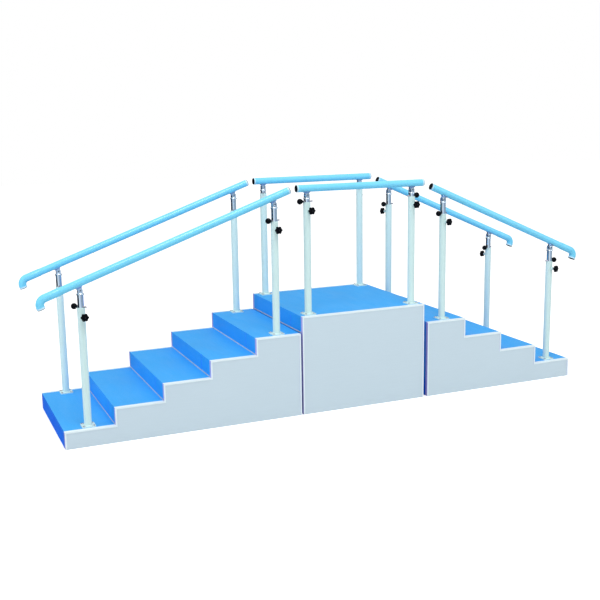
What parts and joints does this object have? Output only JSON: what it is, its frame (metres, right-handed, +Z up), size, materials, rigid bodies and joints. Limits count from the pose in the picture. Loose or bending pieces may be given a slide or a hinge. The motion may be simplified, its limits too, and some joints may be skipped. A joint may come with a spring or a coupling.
{
  "type": "training stairs with parallel handrails",
  "caption": "Free-standing training staircase: two flights of different rise climb to a shared deck, with parallel height-adjustable handrails along both sides.",
  "frame": {"origin": "on the floor under the middle of the whole set", "axes": "+X along the walk from the flight of lower steps to the flight of higher steps, +Y across the walk towards the back row of posts, +Z up"},
  "size_m": [3.5356, 0.84, 1.369],
  "materials": {
    "panel": "pale grey laminate, satin",
    "tread_vinyl": "board under sky-blue vinyl flooring, satin",
    "riser_vinyl": "board under blue vinyl flooring, satin",
    "edge_trim": "white powder-coated angle, satin",
    "batten": "planed softwood",
    "post": "cream-white powder coat, semi-gloss",
    "screw": "bright zinc plate",
    "inner_tube": "bright chrome",
    "saddle": "bright chrome",
    "rail": "light-blue coating, glossy",
    "locking_pin": "black moulded plastic on a steel pin",
    "star_knob": "black moulded plastic on a steel screw"
  },
  "bodies": {
    "stairs": {"left_side_panels": "panel", "left_treads": "tread_vinyl", "left_risers": "riser_vinyl", "deck_side_panels": "panel", "deck_board": "tread_vinyl", "deck_end_boards": "riser_vinyl", "right_side_panels": "panel", "right_treads": "tread_vinyl", "right_risers": "riser_vinyl", "edge_trims": "edge_trim", "inner_battens": "batten", "posts": "post", "base_screws": "screw", "module_ties": "screw"},
    "tube_left_low_front": {"tube_left_low_front": "inner_tube"},
    "rail_left_front": {"rail_left_front": "rail"},
    "saddle_left_front": {"saddle_left_front": "saddle"},
    "tube_left_high_front": {"tube_left_high_front": "inner_tube"},
    "tube_left_low_back": {"tube_left_low_back": "inner_tube"},
    "rail_left_back": {"rail_left_back": "rail"},
    "saddle_left_back": {"saddle_left_back": "saddle"},
    "tube_left_high_back": {"tube_left_high_back": "inner_tube"},
    "tube_deck_left_front": {"tube_deck_left_front": "inner_tube"},
    "rail_deck_front": {"rail_deck_front": "rail"},
    "tube_deck_right_front": {"tube_deck_right_front": "inner_tube"},
    "tube_deck_left_back": {"tube_deck_left_back": "inner_tube"},
    "rail_deck_back": {"rail_deck_back": "rail"},
    "tube_deck_right_back": {"tube_deck_right_back": "inner_tube"},
    "tube_right_low_front": {"tube_right_low_front": "inner_tube"},
    "rail_right_front": {"rail_right_front": "rail"},
    "saddle_right_front": {"saddle_right_front": "saddle"},
    "tube_right_high_front": {"tube_right_high_front": "inner_tube"},
    "tube_right_low_back": {"tube_right_low_back": "inner_tube"},
    "rail_right_back": {"rail_right_back": "rail"},
    "saddle_right_back": {"saddle_right_back": "saddle"},
    "tube_right_high_back": {"tube_right_high_back": "inner_tube"},
    "pin_left_low_front": {"pin_left_low_front": "locking_pin"},
    "star_knob_left_low_front": {"star_knob_left_low_front": "star_knob"},
    "pin_left_low_back": {"pin_left_low_back": "locking_pin"},
    "star_knob_left_low_back": {"star_knob_left_low_back": "star_knob"},
    "pin_left_high_front": {"pin_left_high_front": "locking_pin"},
    "star_knob_left_high_front": {"star_knob_left_high_front": "star_knob"},
    "pin_left_high_back": {"pin_left_high_back": "locking_pin"},
    "star_knob_left_high_back": {"star_knob_left_high_back": "star_knob"},
    "pin_deck_left_front": {"pin_deck_left_front": "locking_pin"},
    "star_knob_deck_left_front": {"star_knob_deck_left_front": "star_knob"},
    "pin_deck_left_back": {"pin_deck_left_back": "locking_pin"},
    "star_knob_deck_left_back": {"star_knob_deck_left_back": "star_knob"},
    "pin_deck_right_front": {"pin_deck_right_front": "locking_pin"},
    "star_knob_deck_right_front": {"star_knob_deck_right_front": "star_knob"},
    "pin_deck_right_back": {"pin_deck_right_back": "locking_pin"},
    "star_knob_deck_right_back": {"star_knob_deck_right_back": "star_knob"},
    "pin_right_high_front": {"pin_right_high_front": "locking_pin"},
    "star_knob_right_high_front": {"star_knob_right_high_front": "star_knob"},
    "pin_right_high_back": {"pin_right_high_back": "locking_pin"},
    "star_knob_right_high_back": {"star_knob_right_high_back": "star_knob"},
    "pin_right_low_front": {"pin_right_low_front": "locking_pin"},
    "star_knob_right_low_front": {"star_knob_right_low_front": "star_knob"},
    "pin_right_low_back": {"pin_right_low_back": "locking_pin"},
    "star_knob_right_low_back": {"star_knob_right_low_back": "star_knob"}
  },
  "joints": [
    {"name": "lift_left_front", "type": "slide", "parent": "stairs", "child": "tube_left_low_front", "axis": [0, 0, 1], "range_m": [0, 0.175]},
    {"name": "tilt_left_front", "type": "hinge", "parent": "tube_left_low_front", "child": "rail_left_front", "pos_m": [-1.53131, -0.354, 0.86265], "axis": [0, -1, 0], "range_deg": [0, 2]},
    {"name": "saddle_slide_left_front", "type": "slide", "parent": "rail_left_front", "child": "saddle_left_front", "axis": [0.9417, 0, 0.3363], "range_m": [0, 0.0161]},
    {"name": "level_left_front", "type": "hinge", "parent": "saddle_left_front", "child": "tube_left_high_front", "pos_m": [-0.39931, -0.354, 1.26693], "axis": [0, -1, 0], "range_deg": [-2, 0]},
    {"name": "lift_left_back", "type": "slide", "parent": "stairs", "child": "tube_left_low_back", "axis": [0, 0, 1], "range_m": [0, 0.175]},
    {"name": "tilt_left_back", "type": "hinge", "parent": "tube_left_low_back", "child": "rail_left_back", "pos_m": [-1.53131, 0.354, 0.86265], "axis": [0, -1, 0], "range_deg": [0, 2]},
    {"name": "saddle_slide_left_back", "type": "slide", "parent": "rail_left_back", "child": "saddle_left_back", "axis": [0.9417, 0, 0.3363], "range_m": [0, 0.0161]},
    {"name": "level_left_back", "type": "hinge", "parent": "saddle_left_back", "child": "tube_left_high_back", "pos_m": [-0.39931, 0.354, 1.26693], "axis": [0, -1, 0], "range_deg": [-2, 0]},
    {"name": "lift_deck_front", "type": "slide", "parent": "stairs", "child": "tube_deck_left_front", "axis": [0, 0, 1], "range_m": [0, 0.175]},
    {"name": "tilt_deck_front", "type": "hinge", "parent": "tube_deck_left_front", "child": "rail_deck_front", "pos_m": [-0.19331, -0.354, 1.31], "axis": [0, -1, 0], "range_deg": [0, 2]},
    {"name": "level_deck_front", "type": "hinge", "parent": "rail_deck_front", "child": "tube_deck_right_front", "pos_m": [0.50569, -0.354, 1.31], "axis": [0, -1, 0], "range_deg": [-2, 0]},
    {"name": "lift_deck_back", "type": "slide", "parent": "stairs", "child": "tube_deck_left_back", "axis": [0, 0, 1], "range_m": [0, 0.175]},
    {"name": "tilt_deck_back", "type": "hinge", "parent": "tube_deck_left_back", "child": "rail_deck_back", "pos_m": [-0.19331, 0.354, 1.31], "axis": [0, -1, 0], "range_deg": [0, 2]},
    {"name": "level_deck_back", "type": "hinge", "parent": "rail_deck_back", "child": "tube_deck_right_back", "pos_m": [0.50569, 0.354, 1.31], "axis": [0, -1, 0], "range_deg": [-2, 0]},
    {"name": "lift_right_front", "type": "slide", "parent": "stairs", "child": "tube_right_low_front", "axis": [0, 0, 1], "range_m": [0, 0.175]},
    {"name": "tilt_right_front", "type": "hinge", "parent": "tube_right_low_front", "child": "rail_right_front", "pos_m": [1.55619, -0.354, 0.88154], "axis": [0, 1, 0], "range_deg": [0, 2]},
    {"name": "saddle_slide_right_front", "type": "slide", "parent": "rail_right_front", "child": "saddle_right_front", "axis": [-0.9165, 0, 0.3999], "range_m": [0, 0.0147]},
    {"name": "level_right_front", "type": "hinge", "parent": "saddle_right_front", "child": "tube_right_high_front", "pos_m": [0.73119, -0.354, 1.24154], "axis": [0, 1, 0], "range_deg": [-2, 0]},
    {"name": "lift_right_back", "type": "slide", "parent": "stairs", "child": "tube_right_low_back", "axis": [0, 0, 1], "range_m": [0, 0.175]},
    {"name": "tilt_right_back", "type": "hinge", "parent": "tube_right_low_back", "child": "rail_right_back", "pos_m": [1.55619, 0.354, 0.88154], "axis": [0, 1, 0], "range_deg": [0, 2]},
    {"name": "saddle_slide_right_back", "type": "slide", "parent": "rail_right_back", "child": "saddle_right_back", "axis": [-0.9165, 0, 0.3999], "range_m": [0, 0.0147]},
    {"name": "level_right_back", "type": "hinge", "parent": "saddle_right_back", "child": "tube_right_high_back", "pos_m": [0.73119, 0.354, 1.24154], "axis": [0, 1, 0], "range_deg": [-2, 0]},
    {"name": "pull_left_low_front", "type": "slide", "parent": "tube_left_low_front", "child": "pin_left_low_front", "axis": [-0.7071, 0.7071, 0], "range_m": [0, 0.05]},
    {"name": "turn_left_low_front", "type": "hinge", "parent": "stairs", "child": "star_knob_left_low_front", "pos_m": [-1.53131, -0.354, 0.72], "axis": [0.1736, -0.9848, 0], "range_deg": [0, 360]},
    {"name": "pull_left_low_back", "type": "slide", "parent": "tube_left_low_back", "child": "pin_left_low_back", "axis": [0.1564, 0.9877, 0], "range_m": [0, 0.05]},
    {"name": "turn_left_low_back", "type": "hinge", "parent": "stairs", "child": "star_knob_left_low_back", "pos_m": [-1.53131, 0.354, 0.72], "axis": [0.1564, 0.9877, 0], "range_deg": [0, 360]},
    {"name": "pull_left_high_front", "type": "slide", "parent": "tube_left_high_front", "child": "pin_left_high_front", "axis": [-0.9613, -0.2756, 0], "range_m": [0, 0.05]},
    {"name": "turn_left_high_front", "type": "hinge", "parent": "stairs", "child": "star_knob_left_high_front", "pos_m": [-0.39931, -0.354, 1.12], "axis": [0.1219, -0.9925, 0], "range_deg": [0, 360]},
    {"name": "pull_left_high_back", "type": "slide", "parent": "tube_left_high_back", "child": "pin_left_high_back", "axis": [0.3256, 0.9455, 0], "range_m": [0, 0.05]},
    {"name": "turn_left_high_back", "type": "hinge", "parent": "stairs", "child": "star_knob_left_high_back", "pos_m": [-0.39931, 0.354, 1.12], "axis": [0.3256, 0.9455, 0], "range_deg": [0, 360]},
    {"name": "pull_deck_left_front", "type": "slide", "parent": "tube_deck_left_front", "child": "pin_deck_left_front", "axis": [-1, 0, 0], "range_m": [0, 0.05]},
    {"name": "turn_deck_left_front", "type": "hinge", "parent": "stairs", "child": "star_knob_deck_left_front", "pos_m": [-0.19331, -0.354, 1.22], "axis": [0.1908, -0.9816, 0], "range_deg": [0, 360]},
    {"name": "pull_deck_left_back", "type": "slide", "parent": "tube_deck_left_back", "child": "pin_deck_left_back", "axis": [0.3584, 0.9336, 0], "range_m": [0, 0.05]},
    {"name": "turn_deck_left_back", "type": "hinge", "parent": "stairs", "child": "star_knob_deck_left_back", "pos_m": [-0.19331, 0.354, 1.22], "axis": [0.3584, 0.9336, 0], "range_deg": [0, 360]},
    {"name": "pull_deck_right_front", "type": "slide", "parent": "tube_deck_right_front", "child": "pin_deck_right_front", "axis": [0.9659, 0.2588, 0], "range_m": [0, 0.05]},
    {"name": "turn_deck_right_front", "type": "hinge", "parent": "stairs", "child": "star_knob_deck_right_front", "pos_m": [0.50569, -0.354, 1.22], "axis": [0.1564, -0.9877, 0], "range_deg": [0, 360]},
    {"name": "pull_deck_right_back", "type": "slide", "parent": "tube_deck_right_back", "child": "pin_deck_right_back", "axis": [0.454, 0.891, 0], "range_m": [0, 0.05]},
    {"name": "turn_deck_right_back", "type": "hinge", "parent": "stairs", "child": "star_knob_deck_right_back", "pos_m": [0.50569, 0.354, 1.22], "axis": [0.454, 0.891, 0], "range_deg": [0, 360]},
    {"name": "pull_right_high_front", "type": "slide", "parent": "tube_right_high_front", "child": "pin_right_high_front", "axis": [-0.9336, -0.3584, 0], "range_m": [0, 0.05]},
    {"name": "turn_right_high_front", "type": "hinge", "parent": "stairs", "child": "star_knob_right_high_front", "pos_m": [0.73119, -0.354, 1.1], "axis": [0.3256, -0.9455, 0], "range_deg": [0, 360]},
    {"name": "pull_right_high_back", "type": "slide", "parent": "tube_right_high_back", "child": "pin_right_high_back", "axis": [-0.9848, -0.1736, 0], "range_m": [0, 0.05]},
    {"name": "turn_right_high_back", "type": "hinge", "parent": "stairs", "child": "star_knob_right_high_back", "pos_m": [0.73119, 0.354, 1.1], "axis": [-0.4695, 0.8829, 0], "range_deg": [0, 360]},
    {"name": "pull_right_low_front", "type": "slide", "parent": "tube_right_low_front", "child": "pin_right_low_front", "axis": [0.9903, 0.1392, 0], "range_m": [0, 0.05]},
    {"name": "turn_right_low_front", "type": "hinge", "parent": "stairs", "child": "star_knob_right_low_front", "pos_m": [1.55619, -0.354, 0.74], "axis": [0.3907, -0.9205, 0], "range_deg": [0, 360]},
    {"name": "pull_right_low_back", "type": "slide", "parent": "tube_right_low_back", "child": "pin_right_low_back", "axis": [-0.9397, -0.342, 0], "range_m": [0, 0.05]},
    {"name": "turn_right_low_back", "type": "hinge", "parent": "stairs", "child": "star_knob_right_low_back", "pos_m": [1.55619, 0.354, 0.74], "axis": [-0.342, 0.9397, 0], "range_deg": [0, 360]}
  ],
  "couplings": [
    {"joint": "saddle_slide_left_front", "follows": "tilt_left_front", "m_per_rad": 0.45615},
    {"joint": "level_left_front", "follows": "tilt_left_front", "ratio": -1},
    {"joint": "saddle_slide_left_back", "follows": "tilt_left_back", "m_per_rad": 0.45615},
    {"joint": "level_left_back", "follows": "tilt_left_back", "ratio": -1},
    {"joint": "level_deck_front", "follows": "tilt_deck_front", "ratio": -1},
    {"joint": "level_deck_back", "follows": "tilt_deck_back", "ratio": -1},
    {"joint": "saddle_slide_right_front", "follows": "tilt_right_front", "m_per_rad": 0.41498},
    {"joint": "level_right_front", "follows": "tilt_right_front", "ratio": -1},
    {"joint": "saddle_slide_right_back", "follows": "tilt_right_back", "m_per_rad": 0.41498},
    {"joint": "level_right_back", "follows": "tilt_right_back", "ratio": -1}
  ]
}
